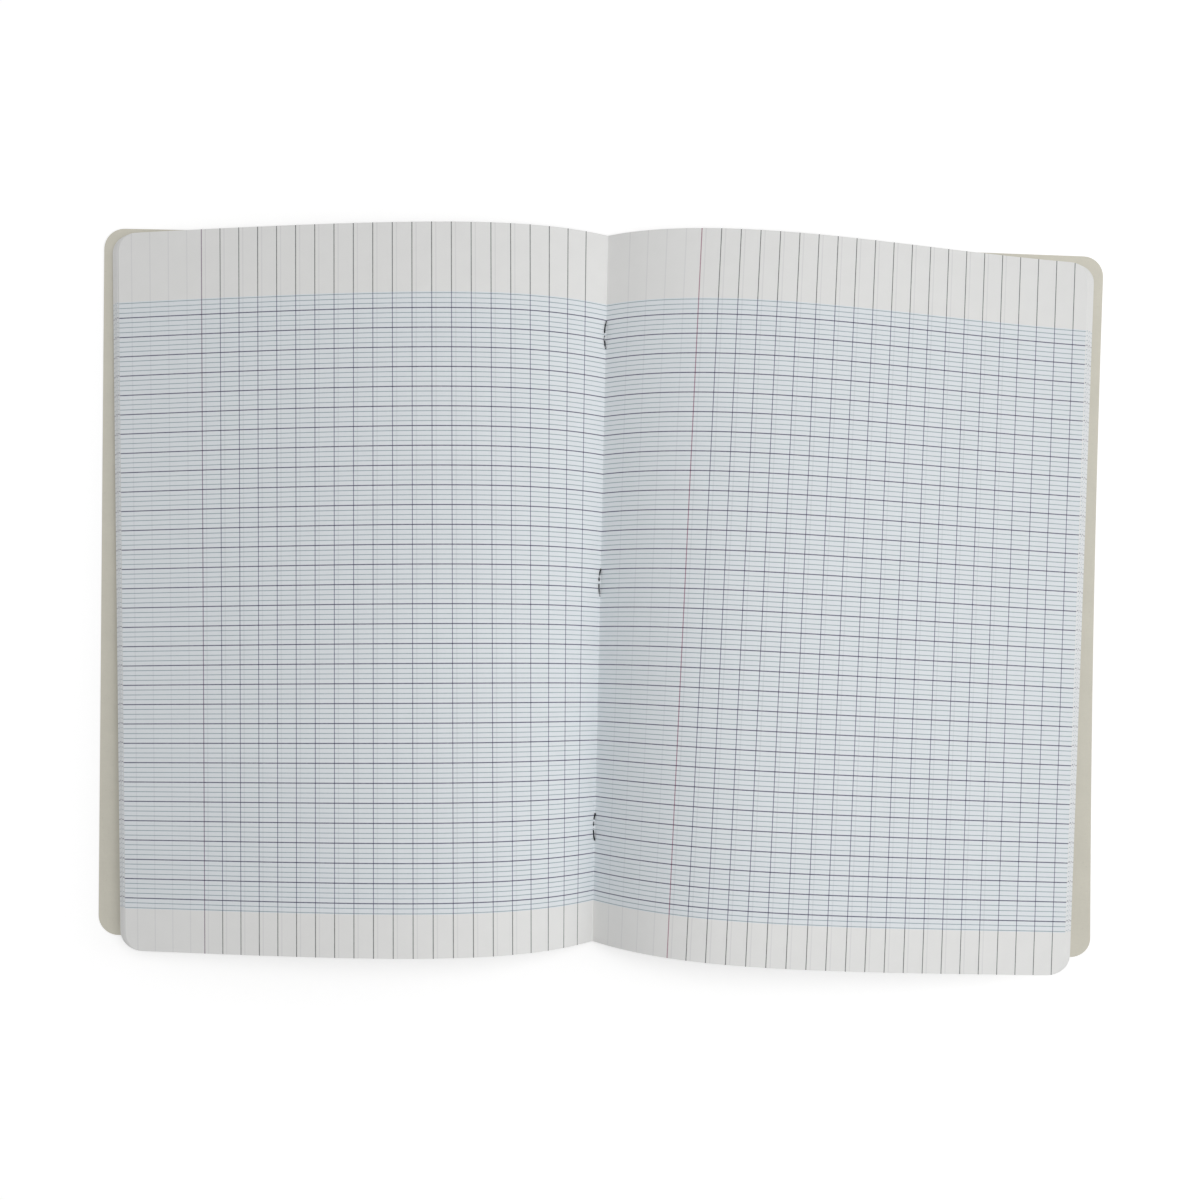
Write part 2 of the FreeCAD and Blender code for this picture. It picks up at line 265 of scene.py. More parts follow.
def corner_inset(along: np.ndarray, width: float, corner: float) -> np.ndarray:
    """How far a rounded corner takes an edge in, at each distance from the fold."""
    near = np.clip(along - (width - corner), 0.0, corner)
    return corner - np.sqrt(corner**2 - near**2)


def new_object(name: str, data: bpy.types.ID) -> bpy.types.Object:
    """Makes an object of a mesh, a light or a camera, and puts it in the scene."""
    thing = bpy.data.objects.new(name, data)
    bpy.context.scene.collection.objects.link(thing)
    return thing


@dataclass
class Sheets:
    """Closed thin sheets gathered into one mesh: points, faces, page coordinates and tones."""

    name: str

    def __post_init__(self) -> None:
        """Starts with no sheets."""
        self.points, self.faces, self.page, self.tone, self.kinds = [], [], [], [], []
        self.count = 0

    def add(self, upper: np.ndarray, lower: np.ndarray, page: np.ndarray, tone: float = 0.0) -> None:
        """Adds one closed sheet.

        Args:
            upper: rows × columns × 3 points of the upper side, rows towards +x and columns towards +y.
            lower: the same points on the underside.
            page: rows × columns × 2 page coordinates of the upper side.
            tone: the sheet's own shade, from -1 to 1.
        """
        rows, columns = upper.shape[:2]
        size = rows * columns
        under = grid_faces(rows, columns, size)[:, ::-1]
        parts = (grid_faces(rows, columns), under, rim_faces(rows, columns, size))
        for kind, faces in zip((UPPER, UNDER, RIM), parts):
            self.faces.append(faces + self.count)
            self.kinds.append(np.full(len(faces), kind))
        self.points += [upper.reshape(-1, 3), lower.reshape(-1, 3)]
        self.page += [page.reshape(-1, 2), page.reshape(-1, 2) * (-1, 1)]
        self.tone.append(np.full(2 * size, tone))
        self.count += 2 * size

    def build(self, materials: list[bpy.types.Material]) -> bpy.types.Object:
        """Makes the mesh in metres.

        Args:
            materials: those of the upper side, the underside and the rim.

        Returns:
            Its object.
        """
        points, faces = np.concatenate(self.points) * METRES, np.concatenate(self.faces)
        kinds, page = np.concatenate(self.kinds), np.concatenate(self.page) * METRES
        mesh = bpy.data.meshes.new(self.name)
        mesh.vertices.add(len(points))
        mesh.vertices.foreach_set("co", points.astype(np.float32).ravel())
        mesh.loops.add(faces.size)
        mesh.loops.foreach_set("vertex_index", faces.astype(np.int32).ravel())
        mesh.polygons.add(len(faces))
        mesh.polygons.foreach_set("loop_start", np.arange(0, faces.size, 4, dtype=np.int32))
        for material in materials:
            mesh.materials.append(material)
        mesh.polygons.foreach_set("material_index", kinds.astype(np.int32))
        mesh.update(calc_edges=True)
        mesh.validate()
        mesh.polygons.foreach_set("use_smooth", kinds < RIM)
        layer = mesh.uv_layers.new(name="page")
        layer.data.foreach_set("uv", page[faces.ravel()].astype(np.float32).ravel())
        tone = mesh.attributes.new("tone", "FLOAT", "POINT")
        tone.data.foreach_set("value", np.concatenate(self.tone).astype(np.float32))
        self.sharpen(mesh, kinds)
        return new_object(self.name, mesh)

    @staticmethod
    def sharpen(mesh: bpy.types.Mesh, kinds: np.ndarray) -> None:
        """Marks as sharp the edges between a sheet's sides and its rim.

        Args:
            mesh: the finished mesh.
            kinds: which part of a sheet each face belongs to.
        """
        corners = np.zeros(len(mesh.loops), np.int32)
        mesh.loops.foreach_get("edge_index", corners)
        on_rim = np.repeat(kinds == RIM, 4)
        touched = np.zeros((2, len(mesh.edges)), bool)
        touched[0, corners[on_rim]] = True
        touched[1, corners[~on_rim]] = True
        sharp = mesh.attributes.new("sharp_edge", "BOOLEAN", "EDGE")
        sharp.data.foreach_set("value", touched.all(axis=0))


@dataclass(frozen=True)
class LeafStack:
    """The folded sheets, each a closed sheet of its own round the ones above it.

    Attributes:
        crease: radius of the top sheet's fold.
        crease_roll: distance over which that radius fades into the arch.
        gap: air between two sheets.
        wander: how far a sheet's fore edge strays from its place.
        wander_up: share of that by which it strays along the fold.
        print_wander: how far a sheet's printing strays from its place.
        bend_reach: length beside the fold that has the closest stations.
        counts: numbers of stations beside the fold, over the flat and round the corner.
        fold_stations: number of points on the fold's own arc.
        top_rows, low_rows: number of rows of points on the top sheet and on the others.
        creep_power: how late along the leaf the creep of the lower sheets is taken up.
        wander_power: how late along the leaf a sheet strays.
    """

    crease: float = 0.3
    crease_roll: float = 20.0
    gap: float = 0.016
    wander: float = 0.14
    wander_up: float = 0.5
    print_wander: float = 0.35
    seed: int = 24
    bend_reach: float = 60.0
    counts: tuple = (41, 27, 11)
    fold_stations: int = 7
    top_rows: int = 25
    low_rows: int = 11
    creep_power: int = 4
    wander_power: int = 6

    def stations(self) -> np.ndarray:
        """Distances of the leaf's points from the fold."""
        return stations(self.bend_reach, BOOK.leaf_width, BOOK.leaf_corner, self.counts)

    def section(self, side: Side, end: End, depth: float) -> np.ndarray:
        """Section of one leaf at one end of the book.

        It is the top leaf's section moved down by `depth` along its normal. It also reaches further
        by its part of the creep, times a power of the share of the width.

        Args:
            side: which half.
            end: which end of the fold.
            depth: distance below the top leaf.

        Returns:
            x and height over the fold, from the fold outwards.
        """
        path = ARCHES[side, end].trace()
        along = self.stations()
        x, z, slope = (np.interp(along, path[0], row) for row in path[1:])
        share = along / BOOK.leaf_width
        reach = BOOK.creep * depth / BOOK.stack * share**self.creep_power
        ease = self.crease * np.exp(-along / self.crease_roll)
        offset = depth + ease
        x = x + offset * np.sin(slope) + reach * np.cos(slope)
        z = z - offset * np.cos(slope) + ease + reach * np.sin(slope)
        return np.stack([x, z])

    def fold(self, end: End, depth: float) -> np.ndarray:
        """Arc of a circle that joins a sheet's two leaves at one end of the fold.

        Args:
            end: which end of the fold.
            depth: distance below the top sheet, which adds to the circle's radius.

        Returns:
            x and height, without the two points that the leaves have already.
        """
        left = math.radians(ARCHES[Side.LEFT, end].fold)
        right = math.radians(ARCHES[Side.RIGHT, end].fold)
        angle = np.linspace(-left, right, self.fold_stations + 2)[1:-1]
        radius = self.crease + depth
        return np.stack([radius * np.sin(angle), self.crease - radius * np.cos(angle)])

    def profile(self, end: End, depth: float) -> np.ndarray:
        """x and height of a whole sheet at one end, from the left fore edge to the right one."""
        left, right = self.section(Side.LEFT, end, depth), self.section(Side.RIGHT, end, depth)
        return np.concatenate([left[:, ::-1] * [[-1], [1]], self.fold(end, depth), right], axis=1)

    def slide(self, side: Side) -> np.ndarray:
        """Slide towards the tail: the sum, along the leaf, of how much shorter the tail arch is on plan.

        Args:
            side: which half.

        Returns:
            The slide at each station.
        """
        head, tail = ARCHES[side, End.HEAD].trace(), ARCHES[side, End.TAIL].trace()
        step = BOOK.leaf_width / (len(head[0]) - 1)
        slid = np.concatenate([[0.0], np.cumsum((head[1] - tail[1])[:-1]) * step / BOOK.height])
        return np.interp(self.stations(), head[0], slid)

    def surface(self, depth: float, rows: np.ndarray, nudge: np.ndarray) -> tuple[np.ndarray, np.ndarray]:
        """One side of a sheet.

        Args:
            depth: distance below the top of the stack.
            rows: shares of the leaf's height, from -1 at the tail to 1 at the head.
            nudge: the sheet's own small move along x and y.

        Returns:
            Its points, columns towards the head, and its page coordinates.
        """
        along = self.stations()
        arc = np.zeros(self.fold_stations)
        page_x = np.concatenate([-along[::-1], arc, along])
        slid = np.concatenate([self.slide(Side.LEFT)[::-1], arc, self.slide(Side.RIGHT)])
        inset = corner_inset(np.abs(page_x), BOOK.leaf_width, BOOK.leaf_corner)
        page_y = rows[None, :] * (BOOK.height / 2 - inset)[:, None] + nudge[1]
        y = page_y - slid[:, None]
        share = (BOOK.height / 2 - y) / BOOK.height
        head, tail = self.profile(End.HEAD, depth), self.profile(End.TAIL, depth)
        x = head[0][:, None] * (1 - share) + tail[0][:, None] * share
        z = head[1][:, None] * (1 - share) + tail[1][:, None] * share
        outward = np.sign(page_x) * (np.abs(page_x) / BOOK.leaf_width) ** self.wander_power
        x = x + nudge[0] * outward[:, None]
        points = np.stack([x, y + BOOK.shift, z + BOOK.fold_height], axis=-1)
        page = np.stack(np.broadcast_arrays(page_x[:, None], page_y - nudge[1]), axis=-1)
        return points, page

    def build(self, paper: "PaperFinish") -> bpy.types.Object:
        """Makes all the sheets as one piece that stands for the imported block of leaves.

        Args:
            paper: the finish of the leaves and of their edges.

        Returns:
            The piece, riding on the leaves' body.
        """
        chance = np.random.default_rng(self.seed)
        ruled, rim = paper.build(), paper.build_rim()
        sheets = Sheets("leaves_sheets")
        for number in range(BOOK.sheets):
            rows = np.linspace(-1.0, 1.0, self.top_rows if number == 0 else self.low_rows)
            nudge = chance.normal(0.0, self.wander, 2) * (1.0, self.wander_up)
            print_nudge = chance.normal(0.0, self.print_wander, 2)
            tone = float(chance.uniform(-1.0, 1.0))
            if number == 0:
                nudge, print_nudge, tone = nudge * 0, print_nudge * 0, 0.0
            upper, page = self.surface(number * BOOK.sheet, rows, nudge)
            lower, _ = self.surface((number + 1) * BOOK.sheet - self.gap, rows, nudge)
            sheets.add(upper, lower, page + print_nudge, tone)
        thing = sheets.build([ruled, ruled, rim])
        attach(thing, "leaves")
        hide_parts("page_block")
        return thing


@dataclass(frozen=True)
class CardCover:
    """One half of the card cover, from the middle of the spine to its fore edge.

    Attributes:
        side: which half.
        corner_lift: how high the tail corner is curled.
        skew: how far its fore edge lies towards the tail.
        spare: how much wider it is than the card's plain size.
        hinge: distance of the hinge from the spine's middle; not used.
        bend: length of card at the hinge; not used.
        inner: distance from the spine's middle at which the card's flat half begins.
        curl_across: how suddenly the corner curls towards the fore edge.
        curl_along: how suddenly it curls towards the tail.
        crease_reach: length beside the spine's middle that has the closest stations.
        counts: numbers of stations at the crease, over the flat and round the corner.
        rows: number of rows of points from tail to head.
    """

    side: Side
    corner_lift: float
    skew: float
    spare: float
    hinge: float = 6.1
    bend: float = 3.2
    inner: float = 6.2
    curl_across: int = 3
    curl_along: int = 2
    crease_reach: float = 9.0
    counts: tuple = (31, 41, 13)
    rows: int = 41

    def build(self, card: "CardFinish", body: str, replaced: tuple[str, ...]) -> bpy.types.Object:
        """Makes the half, with its crease at the spine's middle.

        The crease is a squared cosine, and the curled corner is a product of two powers: of the share
        of the way to the fore edge and of the share of the way to the tail.

        Args:
            card: the finish of both faces and of the cut edge.
            body: not used.
            replaced: the nodes that it stands for.

        Returns:
            The piece.
        """
        along = stations(self.crease_reach, BOOK.cover_width, BOOK.cover_corner, self.counts)
        inset = corner_inset(along, BOOK.cover_width, BOOK.cover_corner)
        rows = np.linspace(-1.0, 1.0, self.rows)
        page_y = rows[None, :] * (BOOK.height / 2 - inset)[:, None]
        crown = BOOK.crease_lift * np.cos(np.clip(along / BOOK.crease_half, 0, 1) * math.pi / 2) ** 2
        outward = np.clip((along - self.inner) / (BOOK.cover_width - self.inner), 0, 1)
        tailward = (BOOK.height / 2 - page_y) / BOOK.height
        curl = outward[:, None] ** self.curl_across * tailward**self.curl_along
        z = crown[:, None] + self.corner_lift * curl
        reach = along + self.spare * outward
        x = np.broadcast_to(self.side.value * reach[:, None], z.shape)
        y = page_y + BOOK.shift - self.skew * outward[:, None]
        lower = np.stack([x, y, z], axis=-1)
        upper = lower + (0.0, 0.0, BOOK.card)
        page = np.stack([x, page_y], axis=-1)
        if self.side is Side.LEFT:
            lower, upper, page = lower[::-1], upper[::-1], page[::-1]
        sheets = Sheets("cover_" + self.side.name.lower())
        sheets.add(upper, lower, page)
        inner, outer, rim = card.build()
        thing = sheets.build([inner, outer, rim])
        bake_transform(thing)
        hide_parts(*replaced)
        return thing


@dataclass(frozen=True)
class Staple:
    """One wire staple, its crown under the spine and its two ends clinched along the fold.

    Attributes:
        middle: y of the staple's middle.
        wire: diameter of the wire.
        crown: length from leg to leg.
        gap: distance between the clinched ends.
        corner: radius of the wire's bends.
        bow: how far the clinched ends lean to the left.
        seat: height of the clinched wire's middle over the fold.
        rise: how much higher it is at its ends.
        swing: turn of the sine that the lean follows, as a share of half a turn.
        tip: width of the wire's cut ends, as a share of the wire's.
        sides: number of the wire's sides.
        bend_stations, run_stations: numbers of points on a bend and on a clinched end.
        headward: how far the wire sits towards the head in its holes.
    """

    name: str
    middle: float
    wire: float = 0.62
    crown: float = 12.0
    gap: float = 1.0
    corner: float = 0.45
    bow: float = 0.55
    seat: float = 0.42
    rise: float = 0.40
    swing: float = 0.6
    tip: float = 0.62
    sides: int = 14
    bend_stations: int = 7
    run_stations: int = 8
    headward: float = 0.9

    def half(self) -> np.ndarray:
        """Centre line of one half: a straight crown, two quarter turns, and a clinched end.

        The clinched end rises with the square of the way along it and leans by a sine of that way.

        Returns:
            Points from the crown's middle to the cut end.
        """
        reach = (self.crown - self.wire) / 2
        low = BOOK.crease_lift - self.wire / 2 - BOOK.seat
        high = BOOK.fold_height + self.seat
        turn = np.linspace(0.0, math.pi / 2, self.bend_stations)
        radius = self.corner
        foot = np.stack([reach - radius + radius * np.sin(turn), low + radius - radius * np.cos(turn)])
        knee = np.stack([reach - radius + radius * np.cos(turn), high - radius + radius * np.sin(turn)])
        run = np.linspace(reach - radius, self.gap / 2, self.run_stations + 1)[1:]
        share = (reach - run) / (reach - self.gap / 2)
        clinch = np.stack([run, high + self.rise * share**2])
        path = np.concatenate([[[0.0], [low]], foot, knee, clinch], axis=1)
        swung = -self.bow * np.sin(share * math.pi * self.swing)
        lean = np.concatenate([np.zeros(1 + 2 * len(turn)), swung])
        return np.stack([lean, *path], axis=-1)

    def build(self, finish: "WireFinish", node: str) -> bpy.types.Object:
        """Sweeps a circle along the staple's line, square to it, and closes its ends.

        Args:
            finish: the wire's finish.
            node: the node that it stands for.

        Returns:
            The piece, riding on the leaves' body.
        """
        half = self.half()
        line = np.concatenate([half[:0:-1] * (1, -1, 1), half])
        line = line + (0.0, self.middle, 0.0)
        tangent = np.gradient(line, axis=0)
        tangent /= np.linalg.norm(tangent, axis=1, keepdims=True)
        across = np.cross(tangent, (1.0, 0.0, 0.0))
        across /= np.linalg.norm(across, axis=1, keepdims=True)
        beside = np.cross(across, tangent)
        angle = np.linspace(0, 2 * math.pi, self.sides, endpoint=False)[None, :, None]
        radius = np.full(len(line), self.wire / 2)
        radius[[0, -1]] *= self.tip
        ring = np.cos(angle) * beside[:, None] + np.sin(angle) * across[:, None]
        points = line[:, None] + ring * radius[:, None, None]
        count, around = len(line), self.sides
        index = np.arange(count * around).reshape(count, around)
        turned = np.roll(index, -1, axis=1)
        quads = np.stack([index[:-1], turned[:-1], turned[1:], index[1:]], axis=-1).reshape(-1, 4)
        faces = [*quads.tolist(), index[0, ::-1].tolist(), index[-1].tolist()]
        mesh = bpy.data.meshes.new(self.name)
        mesh.from_pydata((points.reshape(-1, 3) * METRES).tolist(), [], faces)
        mesh.validate()
        mesh.polygons.foreach_set("use_smooth", [True] * len(quads) + [False, False])
        mesh.materials.append(finish.build())
        thing = new_object(self.name, mesh)
        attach(thing, "leaves")
        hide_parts(node)
        return thing


class Graph:
    """A short way to write one shader tree."""

    def __init__(self, tree: bpy.types.NodeTree) -> None:
        """Takes the tree to write in."""
        self.tree = tree

    @property
    def shader(self) -> bpy.types.Node:
        """The tree's Principled node."""
        return self.tree.nodes["Principled BSDF"]

    def node(self, kind: str, **settings: object) -> bpy.types.Node:
        """Adds a node.

        Args:
            kind: its type, without Blender's prefix.
            settings: its properties and their values.

        Returns:
            The node.
        """
        prefix = "Node" if kind in ("GroupInput", "GroupOutput") else "ShaderNode"
        made = self.tree.nodes.new(prefix + kind)
        for name, value in settings.items():
            setattr(made, name, value)
        return made

    def feed(self, node: bpy.types.Node, **values: object) -> bpy.types.Node:
        """Feeds a node's inputs, whose names are written with _ for a space, and returns the node."""
        for name, value in values.items():
            self.put(node.inputs[name.replace("_", " ")], value)
        return node

    def put(self, socket: bpy.types.NodeSocket, value: object) -> None:
        """Links a socket or sets its own value.

        Args:
            socket: an input.
            value: an output to link to it, or its value.
        """
        if isinstance(value, bpy.types.NodeSocket):
            self.tree.links.new(value, socket)
        elif value is not None:
            socket.default_value = value

    def math(self, operation: str, *values: object) -> bpy.types.NodeSocket:
        """Adds a Math node.

        Args:
            operation: what it does.
            values: its inputs, as outputs of other nodes or as numbers.

        Returns:
            Its result.
        """
        made = self.node("Math", operation=operation)
        for socket, value in zip(made.inputs, values):
            self.put(socket, value)
        return made.outputs[0]

    def tint(self, blend: str, share: object, base: object, other: object) -> bpy.types.NodeSocket:
        """Adds a colour Mix node.

        Args:
            blend: how it mixes.
            share: how much of the second colour it takes.
            base: the first colour.
            other: the second colour.

        Returns:
            Its colour.
        """
        made = self.node("Mix", data_type="RGBA", blend_type=blend, clamp_result=True)
        for name, value in (("Factor_Float", share), ("A_Color", base), ("B_Color", other)):
            socket = next(s for s in made.inputs if s.identifier == name)
            self.put(socket, value)
        return next(s for s in made.outputs if s.identifier == "Result_Color")

    def grey(self, value: bpy.types.NodeSocket) -> bpy.types.NodeSocket:
        """Turns a value into a grey by a Combine Color node."""
        return self.feed(self.node("CombineColor"), Red=value, Green=value, Blue=value).outputs[0]

    def bump(self, height: object, strength: float, depth: float) -> None:
        """Adds a relief of a height from 0 to 1, a strength and a depth in metres to the shader."""
        made = self.feed(self.node("Bump"), Strength=strength, Distance=depth, Height=height)
        self.feed(self.shader, Normal=made.outputs[0])

    def group(self, group: bpy.types.NodeTree, **values: object) -> bpy.types.Node:
        """Adds a node group, feeds its inputs and returns its node."""
        return self.feed(self.node("Group", node_tree=group), **values)


def new_group(name: str, inputs: dict[str, float], outputs: tuple[str, ...], vector: str = "") -> Graph:
    """Starts a node group.

    Args:
        name: its name.
        inputs: its number inputs and their values.
        outputs: its number outputs.
        vector: its vector input, if it has one.

    Returns:
        Its graph.
    """
    tree = bpy.data.node_groups.new(name, "ShaderNodeTree")
    if vector:
        tree.interface.new_socket(vector, in_out="INPUT", socket_type="NodeSocketVector")
    for label, value in inputs.items():
        made = tree.interface.new_socket(label, in_out="INPUT", socket_type="NodeSocketFloat")
        made.default_value = value
    for label in outputs:
        tree.interface.new_socket(label, in_out="OUTPUT", socket_type="NodeSocketFloat")
    return Graph(tree)


class Effects:
    """Node groups that more than one finish uses.

    Attributes:
        line_edge: width over which a printed line fades, in millimetres.
        cloud_scale, cloud_detail: size per metre and detail of the paper's cloudy formation.
        streak_scale, streak_detail: the same for its fibres.
        lengthwise, crosswise: how the two layers of fibres are drawn out.
    """

    line_edge: float = 0.08
    cloud_scale: float = 120.0
    cloud_detail: float = 3.0
    streak_scale: float = 2600.0
    streak_detail: float = 2.0
    lengthwise: tuple = (0.25, 1.0, 1.0)
    crosswise: tuple = (1.0, 0.3, 1.0)

    def __init__(self) -> None:
        """Builds both groups once."""
        self.stripes = self.make_stripes()
        self.fibres = self.make_fibres()

    @staticmethod
    def make_stripes() -> bpy.types.NodeTree:
        """Lines every Spacing from Offset, where the coordinate is between Low and High.

        The coordinate is folded to its distance from the nearest line, and that is set against Width.

        Returns:
            The group, which puts out a mask.
        """
        inputs = {"Coordinate": 0.0, "Offset": 0.0, "Spacing": 8.0, "Width": 0.3, "Low": 0.0, "High": 1.0}
        graph = new_group("printed_lines", inputs, ("Mask",))
        given, out = graph.node("GroupInput"), graph.node("GroupOutput")
        take = given.outputs
        moved = graph.math("SUBTRACT", take["Coordinate"], take["Offset"])
        away = graph.math("PINGPONG", moved, graph.math("MULTIPLY", take["Spacing"], 0.5))
        inside = graph.math("SUBTRACT", graph.math("MULTIPLY", take["Width"], 0.5), away)
        line = graph.math("ADD", graph.math("DIVIDE", inside, Effects.line_edge), 0.5)
        line.node.use_clamp = True
        low = graph.math("GREATER_THAN", take["Coordinate"], take["Low"])
        high = graph.math("LESS_THAN", take["Coordinate"], take["High"])
        kept = graph.math("MULTIPLY", line, graph.math("MULTIPLY", low, high))
        graph.feed(out, Mask=kept)
        return graph.tree

    @staticmethod
    def make_fibres() -> bpy.types.NodeTree:
        """Felted fibres: a cloudy formation and short streaks in two directions.

        Returns:
            The group, which puts out both and a height for bump.
        """
        graph = new_group("felted_fibres", {"Scale": 1.0}, ("Cloud", "Streak", "Height"), "Vector")
        given, out = graph.node("GroupInput"), graph.node("GroupOutput")
        vector, scale = given.outputs["Vector"], given.outputs["Scale"]

        def noise(size: float, detail: float, stretch: tuple[float, float, float]) -> bpy.types.NodeSocket:
            """One layer of noise.

            Args:
                size: its size per metre.
                detail: its finest detail.
                stretch: how it is drawn out along each axis.

            Returns:
                Its value.
            """
            placed = graph.feed(graph.node("Mapping"), Vector=vector, Scale=stretch).outputs[0]
            grain = graph.math("MULTIPLY", scale, size)
            made = graph.feed(graph.node("TexNoise"), Vector=placed, Scale=grain, Detail=detail)
            return made.outputs["Fac"]

        cloud = noise(Effects.cloud_scale, Effects.cloud_detail, (1.0, 1.0, 1.0))
        along = noise(Effects.streak_scale, Effects.streak_detail, Effects.lengthwise)
        across = noise(Effects.streak_scale, Effects.streak_detail, Effects.crosswise)
        streak = graph.math("MULTIPLY", graph.math("ADD", along, across), 0.5)
        height = graph.math("ADD", streak, graph.math("MULTIPLY", cloud, 0.5))
        graph.feed(out, Cloud=cloud, Streak=streak, Height=height)
        return graph.tree


def new_material(name: str) -> tuple[bpy.types.Material, Graph]:
    """Starts a material.

    Args:
        name: its name.

    Returns:
        The material and its graph.
    """
    material = bpy.data.materials.new(name)
    material.use_nodes = True
    return material, Graph(material.node_tree)


def colour(*parts: float) -> tuple[float, float, float, float]:
    """A linear colour with full alpha."""
    return (*parts, 1.0)


@dataclass(frozen=True)
class Ruling:
    """Where the lines of a page are printed, in millimetres from the fold and from mid height.

    Attributes:
        first_row, last_row: the head and the tail writing line.
        top_fine, low_fine: where the lighter lines and the tint end.
        left_margin, right_margin: the margin line of each page.
        left_last, right_last: the last upright line of each page.
        near: how far beyond a line its own band of the page reaches.
        page: more than the page's whole size.
    """

    spacing: float = 8.0
    fine: float = 2.0
    first_row: float = 113.4
    last_row: float = -126.6
    top_fine: float = 120.0
    low_fine: float = -131.0
    left_margin: float = -170.1
    left_last: float = -10.1
    right_margin: float = 40.4
    right_last: float = 200.4
    row_width: float = 0.42
    fine_width: float = 0.29
    upright_width: float = 0.33
    margin_width: float = 0.40
    shown_width: float = 0.5
    near: float = 1.0
    page: float = 1000.0


@dataclass(frozen=True)
class FibreFinish:
    """What paper and card share: felted fibres in their shade, their roughness and their relief.

    Attributes:
        cloudy, streaky: how much clouds and fibres differ in shade.
        rough_streak: how much the fibres add to the roughness.
        relief_depth: depth of the relief in metres.
    """

    effects: Effects
    cloudy: float = 0.05
    streaky: float = 0.03
    rough_streak: float = 0.2
    gloss: float = 0.25
    relief_depth: float = 0.00004

    def shade(self, graph: Graph, fibres: bpy.types.Node, start: object) -> bpy.types.NodeSocket:
        """Adds the shades of the clouds and the fibres to a first value."""
        clouds = graph.math("MULTIPLY_ADD", fibres.outputs["Cloud"], self.cloudy, start)
        return graph.math("MULTIPLY_ADD", fibres.outputs["Streak"], self.streaky, clouds)

    def finish(self, graph: Graph, paint: object, fibres: object, rough: float, relief: float) -> None:
        """Gives the shader its colour, its matte surface and the fibres' relief.

        Args:
            graph: the material's graph.
            paint: its colour.
            fibres: the node of its fibres.
            rough: its least roughness.
            relief: how much of the fibres' relief shows.
        """
        rough = graph.math("MULTIPLY_ADD", fibres.outputs["Streak"], self.rough_streak, rough)
        graph.feed(graph.shader, Base_Color=paint, Roughness=rough, Specular_IOR_Level=self.gloss)
        graph.bump(fibres.outputs["Height"], relief, self.relief_depth)


